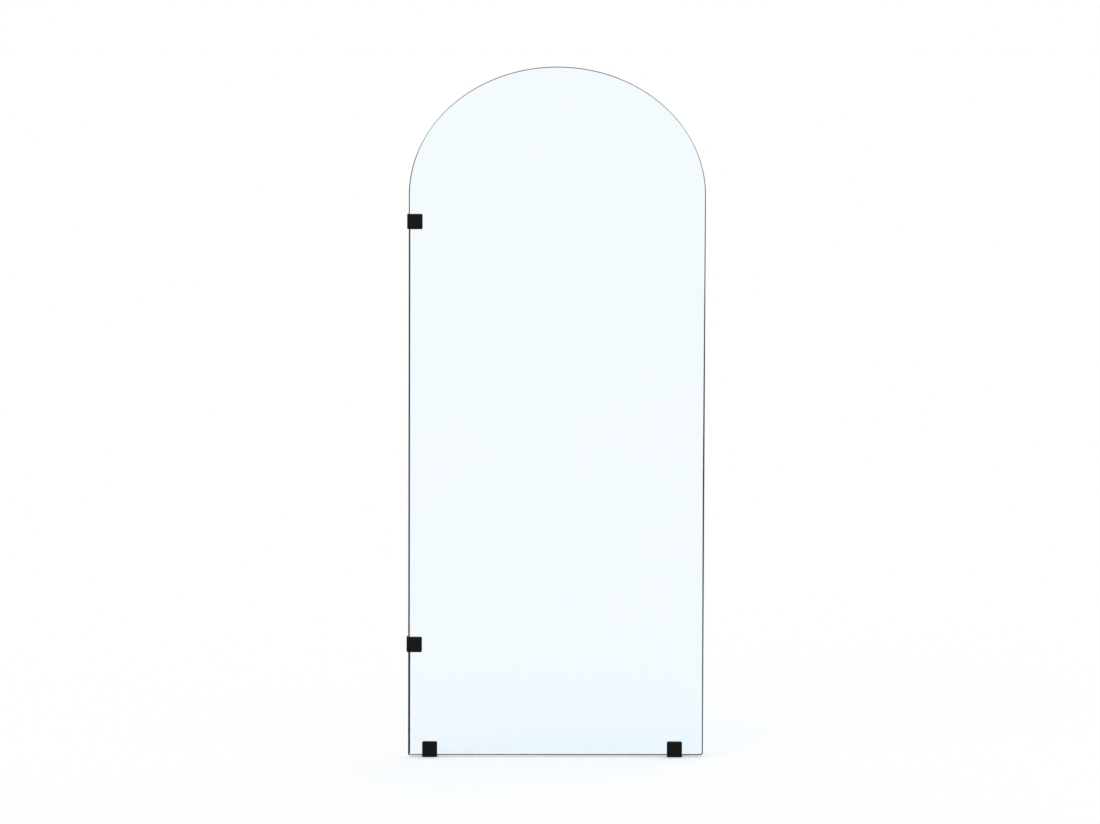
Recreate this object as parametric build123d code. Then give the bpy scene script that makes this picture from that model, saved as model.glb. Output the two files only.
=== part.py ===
from build123d import *
import os

# A curved walk-in shower screen: one flat sheet of clear glass with an arched top, clamped to a wall
# and to a floor by four square brackets that are all alike.
# Lengths are in millimetres and +Z is up. X = 0 is the wall face, Z = 0 is the floor and Y = 0 is the
# middle of the glass. The front of the screen looks towards -Y.

# Glass panel
GLASS_WIDTH = 900.0  # wall edge to free edge
GLASS_HEIGHT = 2100.0  # bottom edge to the crown of the arch
GLASS_THICK = 10.0
ARCH_RISE = 390.0  # crown above the level where the straight sides end
WALL_CORNER_R = 4.0  # bottom corner beside the wall
FREE_CORNER_R = 9.0  # bottom corner at the free edge
EDGE_ARRIS = 2.0  # bevel ground round both faces
HOLE_ARRIS = 0.8  # bevel ground round the mouths of the holes
HOLE_INSET = 25.0  # centre of a hole from the glass edge

# Where the brackets sit along the glass edges
UPPER_BRACKET_DROP = 80.0  # below the level where the arch starts
LOWER_BRACKET_RISE = 340.0  # above the bottom edge
WALL_SIDE_INSET = 66.0  # floor bracket from the wall edge
FREE_SIDE_INSET = 87.0  # floor bracket from the free edge

# Bracket castings
BRACKET_WIDTH = 46.0  # along the glass edge
BRACKET_REACH = 47.0  # from the wall or floor face over the glass
BRACKET_CORNER_R = 4.5
JAW_THICK = 6.0
JAW_BEVEL = 1.6
FLANGE_THICK = 4.0
FLANGE_LENGTH = 34.0  # behind the rear jaw
FLANGE_INSET = 1.5  # narrower than the jaws at each side
FLANGE_CORNER_R = 4.0
FLANGE_BEVEL = 0.8
HEEL_FILLET = 2.5  # between the rear jaw and the flange
CLAMP_GAP = 0.3  # left between the front jaw and the flange, so that the jaws grip the glass

# Fixing holes in the flange
FIXING_HOLE_D = 5.5
FIXING_SINK_D = 11.0
FIXING_INSET = 9.5  # centre of a hole from the side of the flange

# Soft parts between metal and glass
GASKET_THICK = 1.0
GASKET_INSET = 0.6  # inside the outline of the jaws
EDGE_PAD_THICK = 1.0
EDGE_PAD_INSET = 3.0  # short of the sides of the bracket
BUSH_WALL = 1.65
BUSH_SHORT = 0.2  # below the glass face at each end

# Clamp screw and the boss that it is driven into
SCREW_D = 8.0
SCREW_HEAD_D = 16.0
SCREW_HEAD_RIM = 0.4  # straight rim above the cone of the head
SCREW_RECESS = 0.3  # head below the rear face
SCREW_TIP_BEVEL = 0.7
SOCKET_ACROSS_FLATS = 5.0
SOCKET_DEPTH = 3.2
BOSS_WALL = 1.95
BOSS_SHORT = 4.0  # boss end from the rear jaw
BORE_END_WALL = 1.5  # metal left in front of the tapped bore
TIP_GAP = 2.2  # screw tip from the end of the bore

# Radial clearances
THREAD_CLEARANCE = 0.05
SHANK_CLEARANCE = 0.3
SEAT_CLEARANCE = 0.1
BOSS_CLEARANCE = 0.15
BUSH_CLEARANCE = 0.2

# Sizes that follow from those above
GLASS_GAP = FLANGE_THICK + EDGE_PAD_THICK  # wall or floor face to the glass edge
SPRING_LEVEL = GLASS_HEIGHT - ARCH_RISE
SCREW_REACH = GLASS_GAP + HOLE_INSET
JAW_INNER = GLASS_THICK / 2 + GASKET_THICK
JAW_OUTER = JAW_INNER + JAW_THICK
FLANGE_FRONT = -JAW_INNER + CLAMP_GAP
FLANGE_REAR = JAW_OUTER + FLANGE_LENGTH
FLANGE_WIDTH = BRACKET_WIDTH - 2 * FLANGE_INSET
FIXING_ACROSS = FLANGE_WIDTH / 2 - FIXING_INSET
FIXING_DEPTH = (JAW_OUTER + FLANGE_REAR) / 2
BORE_D = SCREW_D + 2 * THREAD_CLEARANCE
BOSS_D = BORE_D + 2 * BOSS_WALL
BOSS_END = JAW_INNER - BOSS_SHORT
BORE_END = -JAW_OUTER + BORE_END_WALL
BUSH_INNER_D = BOSS_D + 2 * BOSS_CLEARANCE
BUSH_OUTER_D = BUSH_INNER_D + 2 * BUSH_WALL
GLASS_HOLE_D = BUSH_OUTER_D + 2 * BUSH_CLEARANCE
HEAD_TOP = JAW_OUTER - SCREW_RECESS
HEAD_CONE_TOP = HEAD_TOP - SCREW_HEAD_RIM
HEAD_CONE_END = HEAD_CONE_TOP - (SCREW_HEAD_D - SCREW_D) / 2
SCREW_TIP = BORE_END + TIP_GAP

OVERSHOOT = 1.0  # how far a cutting shape stands out of what it cuts

# The pieces of a bracket are drawn in the bracket's own frame. X runs along the glass edge, Y = 0 is
# the face against the wall or floor with +Y reaching over the glass, and Z = 0 is the middle of the
# glass with +Z to the rear.


def slab(width, reach_low, reach_high, depth_low, depth_high, corner_r):
    """A flat plate with four rounded corners, centred across the bracket."""
    outline = RectangleRounded(width, reach_high - reach_low, corner_r)
    plate = extrude(outline, amount=depth_high - depth_low)
    return Pos(0, (reach_low + reach_high) / 2, depth_low) * plate


def rod(diameter, depth_low, depth_high):
    """A round bar or hole on the line of the clamp screw."""
    bar = Cylinder(diameter / 2, depth_high - depth_low)
    return Pos(0, SCREW_REACH, (depth_low + depth_high) / 2) * bar


def cone(diameter_low, diameter_high, depth_low, depth_high):
    """A cone or countersink on the line of the clamp screw."""
    shape = Cone(diameter_low / 2, diameter_high / 2, depth_high - depth_low)
    return Pos(0, SCREW_REACH, (depth_low + depth_high) / 2) * shape


def front_jaw():
    """The plate in front of the glass, with the tapped boss that reaches through the glass."""
    jaw = slab(BRACKET_WIDTH, 0, BRACKET_REACH, -JAW_OUTER, -JAW_INNER, BRACKET_CORNER_R)
    jaw = chamfer(jaw.faces().sort_by(Axis.Z)[0].edges(), JAW_BEVEL)
    jaw += rod(BOSS_D, -JAW_INNER, BOSS_END)
    return jaw - rod(BORE_D, BORE_END, BOSS_END + OVERSHOOT)


def flange():
    """The plate against the wall or floor, bevelled round the side that shows."""
    length = FLANGE_REAR - FLANGE_FRONT
    outline = Pos(0, FLANGE_FRONT + length / 2) * Rectangle(FLANGE_WIDTH, length)
    outline = fillet(outline.vertices().group_by(Axis.Y)[-1], FLANGE_CORNER_R)
    plate = extrude(outline, amount=FLANGE_THICK)
    rim = plate.faces().sort_by(Axis.Z)[-1].edges().sort_by(Axis.Y)[1:]
    return chamfer(rim, FLANGE_BEVEL)


def heel():
    """The hollow fillet in the corner between the rear jaw and the flange."""
    corner = (JAW_OUTER, FLANGE_THICK)
    on_flange = (JAW_OUTER + HEEL_FILLET, FLANGE_THICK)
    on_jaw = (JAW_OUTER, FLANGE_THICK + HEEL_FILLET)
    outline = Line(corner, on_flange) + RadiusArc(on_flange, on_jaw, HEEL_FILLET) + Line(on_jaw, corner)
    half_width = FLANGE_WIDTH / 2 - FLANGE_BEVEL
    return extrude(make_face(outline), amount=half_width, both=True)


def fixing_hole(across):
    """The cutter for one countersunk hole, wide at the side away from the wall or floor."""
    sink_depth = (FIXING_SINK_D - FIXING_HOLE_D) / 2
    hole = Cylinder(FIXING_HOLE_D / 2, FLANGE_THICK + 2 * OVERSHOOT)
    sink = Cone(FIXING_HOLE_D / 2, FIXING_SINK_D / 2, sink_depth)
    cutter = Pos(0, 0, FLANGE_THICK / 2) * hole
    cutter += Pos(0, 0, FLANGE_THICK - sink_depth / 2) * sink
    return Pos(across, FIXING_DEPTH, 0) * cutter


def screw_seat():
    """The cutter for the countersunk hole of the clamp screw."""
    mouth = SCREW_HEAD_D + 2 * (SEAT_CLEARANCE + JAW_OUTER - HEAD_CONE_TOP)
    hole_d = SCREW_D + 2 * SHANK_CLEARANCE
    sink_end = JAW_OUTER - (mouth - hole_d) / 2
    return rod(hole_d, JAW_INNER - OVERSHOOT, JAW_OUTER) + cone(hole_d, mouth, sink_end, JAW_OUTER)


def bracket_body():
    """The rear jaw and the flange, cast in one piece."""
    flange_plane = Plane(origin=(0, 0, 0), x_dir=(-1, 0, 0), z_dir=(0, 1, 0))
    heel_plane = Plane(origin=(0, 0, 0), x_dir=(0, 0, 1), z_dir=(-1, 0, 0))
    body = slab(BRACKET_WIDTH, 0, BRACKET_REACH, JAW_INNER, JAW_OUTER, BRACKET_CORNER_R)
    body = chamfer(body.faces().sort_by(Axis.Z)[-1].edges(), JAW_BEVEL)
    body += flange_plane * flange()
    body += heel_plane * heel()
    for side in (-1, 1):
        body -= flange_plane * fixing_hole(side * FIXING_ACROSS)
    return body - screw_seat()


def gasket(depth_low):
    """A sheet between a jaw and the glass, cut off at the glass edge and holed for the bush."""
    width = BRACKET_WIDTH - 2 * GASKET_INSET
    corner_r = BRACKET_CORNER_R - GASKET_INSET
    depth_high = depth_low + GASKET_THICK
    sheet = slab(width, GASKET_INSET, BRACKET_REACH - GASKET_INSET, depth_low, depth_high, corner_r)
    below_edge = Pos(0, GLASS_GAP / 2, depth_low + GASKET_THICK / 2) * Box(
        BRACKET_WIDTH, GLASS_GAP, GASKET_THICK + 2 * OVERSHOOT
    )
    return sheet - below_edge - rod(GLASS_HOLE_D, depth_low - OVERSHOOT, depth_high + OVERSHOOT)


def front_gasket():
    """The gasket against the front face of the glass."""
    return gasket(-JAW_INNER)


def rear_gasket():
    """The gasket against the rear face of the glass."""
    return gasket(GLASS_THICK / 2)


def edge_pad():
    """The strip that the glass edge bears on, as wide as the flat that is left between the arrises."""
    length = BRACKET_WIDTH - 2 * EDGE_PAD_INSET
    strip = Box(length, EDGE_PAD_THICK, GLASS_THICK - 2 * EDGE_ARRIS)
    return Pos(0, FLANGE_THICK + EDGE_PAD_THICK / 2, 0) * strip


def hole_bush():
    """The sleeve that keeps the boss off the glass."""
    end = GLASS_THICK / 2 - BUSH_SHORT
    return rod(BUSH_OUTER_D, -end, end) - rod(BUSH_INNER_D, -end - OVERSHOOT, end + OVERSHOOT)


def clamp_screw():
    """The countersunk socket screw, driven from the rear into the boss."""
    shank_end = SCREW_TIP + SCREW_TIP_BEVEL
    screw = rod(SCREW_HEAD_D, HEAD_CONE_TOP, HEAD_TOP)
    screw += cone(SCREW_D, SCREW_HEAD_D, HEAD_CONE_END, HEAD_CONE_TOP)
    screw += rod(SCREW_D, shank_end, HEAD_CONE_END)
    screw += cone(SCREW_D - 2 * SCREW_TIP_BEVEL, SCREW_D, SCREW_TIP, shank_end)
    hexagon = RegularPolygon(SOCKET_ACROSS_FLATS / 2, 6, major_radius=False)
    socket = extrude(hexagon, amount=SOCKET_DEPTH + OVERSHOOT)
    return screw - Pos(0, SCREW_REACH, HEAD_TOP - SOCKET_DEPTH) * socket


def glass_hole():
    """The cutter for one hole in the glass, with an arris at both mouths."""
    face = GLASS_THICK / 2
    cutter = rod(GLASS_HOLE_D, -face - OVERSHOOT, face + OVERSHOOT)
    mouth_d = GLASS_HOLE_D + 2 * HOLE_ARRIS
    cutter += cone(mouth_d, GLASS_HOLE_D, -face, -face + HOLE_ARRIS)
    return cutter + cone(GLASS_HOLE_D, mouth_d, face - HOLE_ARRIS, face)


def on_wall(height):
    """Where a bracket stands on the wall, with its middle this high above the bottom of the glass."""
    return Plane(origin=(0, 0, GLASS_GAP + height), x_dir=(0, 0, 1), z_dir=(0, 1, 0)).location


def on_floor(inset):
    """Where a bracket stands on the floor, with its middle this far from the wall edge of the glass."""
    return Plane(origin=(GLASS_GAP + inset, 0, 0), x_dir=(-1, 0, 0), z_dir=(0, 1, 0)).location


BRACKETS = {
    "upper_wall": on_wall(SPRING_LEVEL - UPPER_BRACKET_DROP),
    "lower_wall": on_wall(LOWER_BRACKET_RISE),
    "wall_side_floor": on_floor(WALL_SIDE_INSET),
    "free_side_floor": on_floor(GLASS_WIDTH - FREE_SIDE_INSET),
}

BRACKET_PIECES = (front_jaw, bracket_body, front_gasket, rear_gasket, edge_pad, hole_bush, clamp_screw)


def glass_outline():
    """Straight sides and bottom under half an ellipse, drawn from the bottom corner at the wall."""
    width, wall_r, free_r = GLASS_WIDTH, WALL_CORNER_R, FREE_CORNER_R
    wall_corner = RadiusArc((wall_r, 0), (0, wall_r), wall_r)
    free_corner = RadiusArc((width, free_r), (width - free_r, 0), free_r)
    arch = EllipticalCenterArc((width / 2, SPRING_LEVEL), width / 2, ARCH_RISE, start_angle=0, arc_size=180)
    sides = Line((0, wall_r), (0, SPRING_LEVEL)) + Line((width, SPRING_LEVEL), (width, free_r))
    return make_face(wall_corner + sides + arch + free_corner + Line((width - free_r, 0), (wall_r, 0)))


def glass_panel():
    """The glass, bevelled round both faces and holed for each bracket."""
    sheet = extrude(Plane.XZ * glass_outline(), amount=GLASS_THICK / 2, both=True)
    faces = sheet.faces().sort_by(Axis.Y)
    sheet = chamfer(faces[0].edges() + faces[-1].edges(), EDGE_ARRIS)
    sheet = Pos(GLASS_GAP, 0, GLASS_GAP) * sheet
    for place in BRACKETS.values():
        sheet -= place * glass_hole()
    return sheet


def write(name, piece):
    """One file for one node."""
    export_step(piece, f"parts/{name}.step")


os.makedirs("parts", exist_ok=True)
write("glass_panel", glass_panel())
for bracket, place in BRACKETS.items():
    for make in BRACKET_PIECES:
        write(f"{bracket}_{make.__name__}", place * make())
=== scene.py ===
from math import pi, radians, sqrt

import bmesh
import bpy
import numpy as np
from bpy.props import FloatProperty, FloatVectorProperty, IntProperty, PointerProperty
from mathutils import Euler, Matrix, Vector
from mathutils.geometry import delaunay_2d_cdt


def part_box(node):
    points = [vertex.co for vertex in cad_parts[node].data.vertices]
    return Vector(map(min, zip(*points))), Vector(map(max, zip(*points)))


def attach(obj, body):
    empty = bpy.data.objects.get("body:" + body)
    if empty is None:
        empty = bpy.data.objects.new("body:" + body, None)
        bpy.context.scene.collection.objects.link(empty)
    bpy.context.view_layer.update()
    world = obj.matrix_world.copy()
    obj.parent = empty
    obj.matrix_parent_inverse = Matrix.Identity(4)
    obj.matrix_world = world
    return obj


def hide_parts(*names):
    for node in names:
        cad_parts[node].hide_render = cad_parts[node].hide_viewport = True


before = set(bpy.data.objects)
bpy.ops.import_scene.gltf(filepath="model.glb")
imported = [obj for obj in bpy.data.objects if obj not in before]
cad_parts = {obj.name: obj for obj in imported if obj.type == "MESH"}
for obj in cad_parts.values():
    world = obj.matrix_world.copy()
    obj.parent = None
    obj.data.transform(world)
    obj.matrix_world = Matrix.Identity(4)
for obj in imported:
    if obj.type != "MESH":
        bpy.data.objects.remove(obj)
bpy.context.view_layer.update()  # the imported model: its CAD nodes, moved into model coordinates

bl_info = {
    "name": "Arched Shower Screen",
    "version": (1, 0, 0),
    "blender": (4, 5, 0),
    "location": "View3D > Sidebar > Shower Screen",
    "description": "Finishes the arched glass, its black clamps and the studio round them",
    "category": "Object",
}

# Where a bracket's own axes point: along the glass edge, out over the glass, and towards the rear.
ON_WALL = ((0, 0, 1), (1, 0, 0), (0, 1, 0))
ON_FLOOR = ((-1, 0, 0), (0, 0, 1), (0, 1, 0))
BRACKETS = {
    "upper_wall": ON_WALL,
    "lower_wall": ON_WALL,
    "wall_side_floor": ON_FLOOR,
    "free_side_floor": ON_FLOOR,
}
# For an outline that is drawn in the first and third directions, with its thickness in the second.
SWAPPED = ((1, 0, 0), (0, 0, 1), (0, 1, 0))
# The box along a bracket's own axes, on both sides of its middle, where the ends of its heel meet the jaw.
HEEL_LOW = (0.0195, 0.001, 0.0095)
HEEL_HIGH = (0.0265, 0.008, 0.0165)
TIGHTEST_TURN = 0.0005  # smallest radius of a band's inner corner
HAUNCH = (0.0, 0.5, 1.0)  # shares of the arch's rise where the strength of its painted shade line is set
STRONGEST_LINE = 5.0  # the most that a setting allows
ON_BAR, IN_BORE = -1, 1  # where a thread is cut
KEEP_INSIDE = 1  # triangulate only what the borders enclose
BORDER_GAP = 1e-7  # corners of a border nearer than this count as one
SAME_POINT = 1e-6  # corners of a casting nearer than this are joined
SAME_PLANE = radians(0.5)  # faces that lean less than this from each other are joined
SHARP = radians(28)  # edges that turn more than this are softened
MOST_LEAN = 0.5  # cosine of 60 degrees, the most that a corner's normal leans from its face
MIX_FACTOR, MIX_FIRST, MIX_SECOND, MIX_RESULT = 0, 6, 7, 2  # sockets of a Mix node that mixes colours
CLOUD_LIMITS = (0.3, 0.7)  # the noise at which a cloud is none and full
PATCH_LIMITS = (0.45, 0.75)  # the same for a worn patch
WAVE_REPEAT = 2 * pi / 20  # distance between the waves of a Wave Texture at scale 1
WHITE = (1.0, 1.0, 1.0, 1.0)
KEY_TURN = (40.0, 0.0, -30.0)  # how each light is turned from pointing straight down, in degrees
FILL_TURN = (-40.0, 0.0, -35.0)


def length(name, description, default):
    """A size in metres."""
    return FloatProperty(name=name, description=description, default=default, unit="LENGTH", precision=6)


def number(name, description, default, low=0.0, top=1.0):
    """A plain number between two limits."""
    return FloatProperty(name=name, description=description, default=default, min=low, max=top)


def strength(name, place, default):
    """The strength of one stretch of the painted shade line round the glass."""
    return number(name, f"Strength of the dark line {place}", default, top=STRONGEST_LINE)


def angle(name, description, degrees):
    """An angle, whose default is given in degrees."""
    default = radians(degrees)
    return FloatProperty(name=name, description=description, default=default, subtype="ANGLE", precision=4)


def millimetres(name, description, default):
    """A size inside the camera."""
    return FloatProperty(name=name, description=description, default=default, min=1.0, unit="CAMERA")


def count(name, description, default):
    """A whole number of steps."""
    return IntProperty(name=name, description=description, default=default, min=1)


def colour(name, description, default):
    """A colour in linear light."""
    return FloatVectorProperty(
        name=name, description=description, default=default, subtype="COLOR", size=3, min=0.0, max=1.0
    )


class GlassSettings(bpy.types.PropertyGroup):
    """Sizes and colours of the glass panel."""

    arch_rise: length("Arch rise", "Crown above the level where the straight sides end", 0.39)
    wall_corner: length("Wall corner", "Radius of the bottom corner beside the wall", 0.004)
    free_corner: length("Free corner", "Radius of the bottom corner at the free edge", 0.009)
    arris: length("Arris", "Width of the bevel ground round both faces", 0.002)
    hole_arris: length("Hole arris", "Width of the bevel ground round the bracket holes", 0.0008)
    bush_clearance: length("Bush clearance", "Gap between a hole and the bush in it", 0.0002)
    softening: length("Softening", "Radius polished on to each corner of an arris", 0.0003)
    band: length("Band", "Strip of each face, beside the arris, that takes the edge's shade", 0.008)
    hole_band: length("Hole band", "The same strip round a hole", 0.003)
    round_steps: count("Round steps", "Faces across each softened corner", 4)
    arch_steps: count("Arch steps", "Faces along the arch", 300)
    side_steps: count("Side steps", "Faces along each straight edge", 80)
    corner_steps: count("Corner steps", "Faces round each bottom corner", 12)
    hole_steps: count("Hole steps", "Faces round each hole", 72)
    tint: colour("Tint", "What the pane lets through", (0.903, 0.955, 1.0))
    deep_tint: colour("Deep tint", "What it lets through in its coolest places", (0.893, 0.961, 1.0))
    # painted shade: colour of the dark line painted along the arris, in place of the shade the edge shows
    painted_shade_line_colour: colour("Line colour", "The dark line that the arris shows", (0.0012, 0.0007, 0.0010))
    edge_colour: colour("Edge colour", "The ground flat of the edge, seen from the side", (0.045, 0.13, 0.10))
    refraction: number("Refraction", "Index of the glass", 1.52, 1.0, 2.0)
    clouds: length("Clouds", "Size of the slow clouds in the tint", 0.6)
    line_fade: length("Line fade", "Distance over which the dark line fades out on the face", 0.001)
    uneven_length: length("Uneven length", "Distance over which its strength varies", 0.015)
    unevenness: number("Unevenness", "How much it varies", 0.25)
    # painted shade: the painted line's warmer colour near the floor, between the two heights below
    painted_shade_warm_colour: colour("Warm line", "The line's colour near the floor", (0.006, 0.0018, 0.0009))
    warm_top: length("Warm top", "Height above which the line has none of that colour", 1.3)
    warm_low: length("Warm low", "Height below which it has all of it", 0.5)
    # painted shade: how dark the painted line is along each stretch, darkest low on the wall side
    wall_top_line: strength("Wall line, top", "above the upper bracket", 1.6)
    wall_middle_line: strength("Wall line, middle", "between the wall brackets", 3.3)
    wall_low_line: strength("Wall line, low", "below the lower bracket", 4.9)
    bottom_wall_line: strength("Bottom line, wall", "at the wall end of the bottom edge", 0.95)
    bottom_free_line: strength("Bottom line, free", "at the free end of the bottom edge", 1.7)
    free_low_line: strength("Free line, low", "low on the free edge", 1.6)
    free_middle_line: strength("Free line, middle", "half way up the free edge", 3.3)
    wall_spring_line: strength("Spring line, wall", "where the arch starts at the wall", 1.4)
    free_spring_line: strength("Spring line, free", "where the arch starts at the free edge", 0.95)
    haunch_line: strength("Haunch line", "half way up each side of the arch", 0.6)
    crown_line: strength("Crown line", "at the crown of the arch", 0.95)
    wave_length: length("Wave length", "Distance between the faint roller waves of the pane", 0.22)
    wave_height: length("Wave height", "Depth of those waves", 0.00002)


class ClampSettings(bpy.types.PropertyGroup):
    """Sizes of the clamp pieces that the boxes of the CAD model don't give."""

    corner: length("Corner", "Radius of the corners of a jaw", 0.0045)
    jaw_bevel: length("Jaw bevel", "Bevel round the front of the front jaw", 0.0016)
    softening: length("Softening", "Radius left on the sharp edges of the front jaw", 0.0003)
    body_softening: length("Body softening", "The same on the bracket bodies", 0.0002)
    boss_radius: length("Boss radius", "The boss on the front jaw", 0.006)
    boss_bevel: length("Boss bevel", "Lead-in on the end of the boss", 0.0005)
    bore_radius: length("Bore radius", "The tapped bore in the boss", 0.00405)
    bore_end: length("Bore end", "Metal left in front of the bore", 0.0015)
    gasket_corner: length("Gasket corner", "Radius of the two far corners of a gasket", 0.0039)
    gasket_heel: length("Gasket heel", "Radius of its two corners at the glass edge", 0.0005)
    gasket_hole: length("Gasket hole", "Radius of the hole in a gasket", 0.008)
    rubber_round: length("Rubber round", "Radius on the edges of gaskets and pads", 0.00035)
    pad_corner: length("Pad corner", "Radius of the corners of an edge pad", 0.0008)
    bush_bore: length("Bush bore", "Radius inside the bush", 0.00615)
    bush_round: length("Bush round", "Radius on the ends of the bush", 0.0003)
    screw_rim: length("Screw rim", "Straight rim above the cone of the head", 0.0004)
    screw_tip_bevel: length("Tip bevel", "Bevel on the tip of the screw", 0.0007)
    shank_radius: length("Shank radius", "Outside of the screw's thread", 0.004)
    thread_end: length("Thread end", "How far behind the middle of the glass the thread starts", 0.005)
    thread_pitch: length("Thread pitch", "Distance from one turn of the thread to the next", 0.00125)
    thread_depth: length("Thread depth", "Depth of the thread", 0.00055)
    socket_half: length("Socket half", "Half the socket's width across its flats", 0.0025)
    socket_depth: length("Socket depth", "Depth of the socket", 0.0032)
    socket_corner: length("Socket corner", "Radius of the corners of the socket", 0.0002)
    socket_mouth: length("Socket mouth", "Bevel at the mouth of the socket", 0.00025)
    head_round: length("Head round", "Radius on the edges of the screw's head", 0.00012)
    corner_steps: count("Corner steps", "Faces round each corner of a plate", 10)
    arc_steps: count("Arc steps", "Faces across each rounded edge", 3)
    circle_steps: count("Circle steps", "Faces round each circle", 72)
    turn_steps: count("Turn steps", "Rows of faces in each turn of a thread", 12)


class HardwareSettings(bpy.types.PropertyGroup):
    """Finishes of the clamps, screws and soft parts."""

    coat: colour("Coat", "Black powder coat of the clamps", (0.0042, 0.0042, 0.0044))
    coat_worn: colour("Worn coat", "Where the coat is thin along its bevels", (0.0095, 0.0092, 0.009))
    screw: colour("Screw", "Blackened steel of the clamp screws", (0.045, 0.045, 0.048))
    screw_bare: colour("Bare screw", "Steel that shows where the blacking has rubbed off", (0.32, 0.31, 0.30))
    rubber: colour("Rubber", "Gaskets and edge pads", (0.012, 0.012, 0.0125))
    rubber_dust: colour("Rubber dust", "Bloom on the rubber", (0.045, 0.044, 0.042))
    nylon: colour("Nylon", "Bushes in the glass", (0.72, 0.71, 0.66))
    nylon_shade: colour("Nylon shade", "Darker flow marks in the nylon", (0.58, 0.56, 0.50))
    peel_size: length("Peel size", "Grain of the powder coat", 0.0007)
    peel_depth: length("Peel depth", "Height of that grain", 0.00002)
    rubber_grain: length("Rubber grain", "Grain of the rubber", 0.0004)
    rubber_depth: length("Rubber depth", "Height of that grain", 0.00001)
    tool_marks: length("Tool marks", "Spacing of the turning marks on the screws", 0.0002)
    mark_depth: length("Mark depth", "Height of the marks on screws and bushes", 0.000005)
    coat_roughness: number("Coat roughness", "Roughness of the powder coat", 0.46)
    coat_speckle: number("Coat speckle", "How much its grain shows as a lighter speckle", 0.35)
    screw_roughness: number("Screw roughness", "Roughness of the steel", 0.32)
    screw_wear: number("Screw wear", "How bare the worn places are", 0.5)
    rubber_roughness: number("Rubber roughness", "Roughness of the rubber", 0.78)
    rubber_bloom: number("Rubber bloom", "How much of the dusty bloom shows", 0.4)
    nylon_roughness: number("Nylon roughness", "Roughness of the nylon", 0.45)


class StudioSettings(bpy.types.PropertyGroup):
    """Camera, lights and floor."""

    camera_side: length("Camera side", "Camera's distance from the wall face", 0.0965)
    camera_distance: length("Camera distance", "Camera in front of the middle of the glass", 20.0)
    camera_height: length("Camera height", "Camera above the floor", 2.8649)
    camera_pitch: angle("Pitch", "How far the camera looks down", 5.1661)
    camera_yaw: angle("Yaw", "How far it turns to the right", 0.9689)
    camera_roll: angle("Roll", "Turn of the camera about its view", 0.1973)
    lens: millimetres("Lens", "Focal length", 216.39)
    sensor: millimetres("Sensor", "Width of the sensor", 36.0)
    floor_half: length("Floor half", "Half the side of the floor", 60.0)
    floor: colour("Floor", "Matt floor", (0.80, 0.80, 0.80))
    floor_lift: number("Floor lift", "Light added to the floor as it is seen, so that it shows white", 0.13)
    sky: number("Sky", "Strength of the white surroundings as a light", 0.60)
    key: number("Key", "Strength of the front light", 1.2, top=10.0)
    fill: number("Fill", "Strength of the rear light", 0.8, top=10.0)
    softness: angle("Softness", "Angle that each light spans", 50.0)


def placed(name, data):
    """A new object in the scene."""
    thing = bpy.data.objects.new(name, data)
    bpy.context.scene.collection.objects.link(thing)
    return thing


# Shapes


def run(start, end, steps):
    """Points spaced evenly from start up to, but not on, end: start + t (end - start)."""
    t = np.linspace(0.0, 1.0, steps, endpoint=False)[:, None]
    return np.array(start) + t * (np.array(end) - np.array(start))


def turn(centre, radii, first, last, steps):
    """Points and outward normals of an ellipse from one angle up to, but not on, another.

    A point is the centre plus (a cos t, b sin t), and its normal is (cos t / a, sin t / b), made unit long.
    """
    t = np.linspace(first, last, steps, endpoint=False)
    unit = np.stack([np.cos(t), np.sin(t)], axis=1)
    normals = unit / np.array(radii)
    normals /= np.linalg.norm(normals, axis=1, keepdims=True)
    return np.array(centre) + unit * np.array(radii), normals


def straight(start, end, normal, band, steps, trims=(0.0, 0.0)):
    """Points and normals of one straight edge, and the line that its band ends on.

    That line runs beside the edge at the band's width, shortened at its two ends by the trims.
    """
    start, end, normal = np.array(start), np.array(end), np.array(normal)
    along = (end - start) / np.linalg.norm(end - start)
    inside = run(start - band * normal + trims[0] * along, end - band * normal - trims[1] * along, steps)
    return run(start, end, steps), np.tile(normal, (steps, 1)), inside


def tight_turn(radius, band):
    """Radius of the turn that the band ends on, inside a corner of the given radius."""
    return max(radius - band, TIGHTEST_TURN)


def corner_trim(radius, band):
    """How much further along the edge the band's turn starts than the corner itself."""
    return band + tight_turn(radius, band) - radius


def corner(tip, inward, radius, band, first, steps):
    """A quarter turn round one bottom corner, and the tighter turn that its band ends on.

    Both arcs touch the lines they round off: the outer one those through tip, and the inner one those that
    lie a band's width inside them, so that the band doesn't fold where it is wider than the corner's radius.
    """
    tight = tight_turn(radius, band)
    tip, inward = np.array(tip), np.array(inward)
    points, normals = turn(tip + radius * inward, (radius, radius), first, first + pi / 2, steps)
    return points, normals, tip + (band + tight) * inward + tight * normals


def joined(*parts):
    """Several stretches of points, normals, band ends and line strengths, end to end."""
    return [np.concatenate(column) for column in zip(*parts)]


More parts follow.
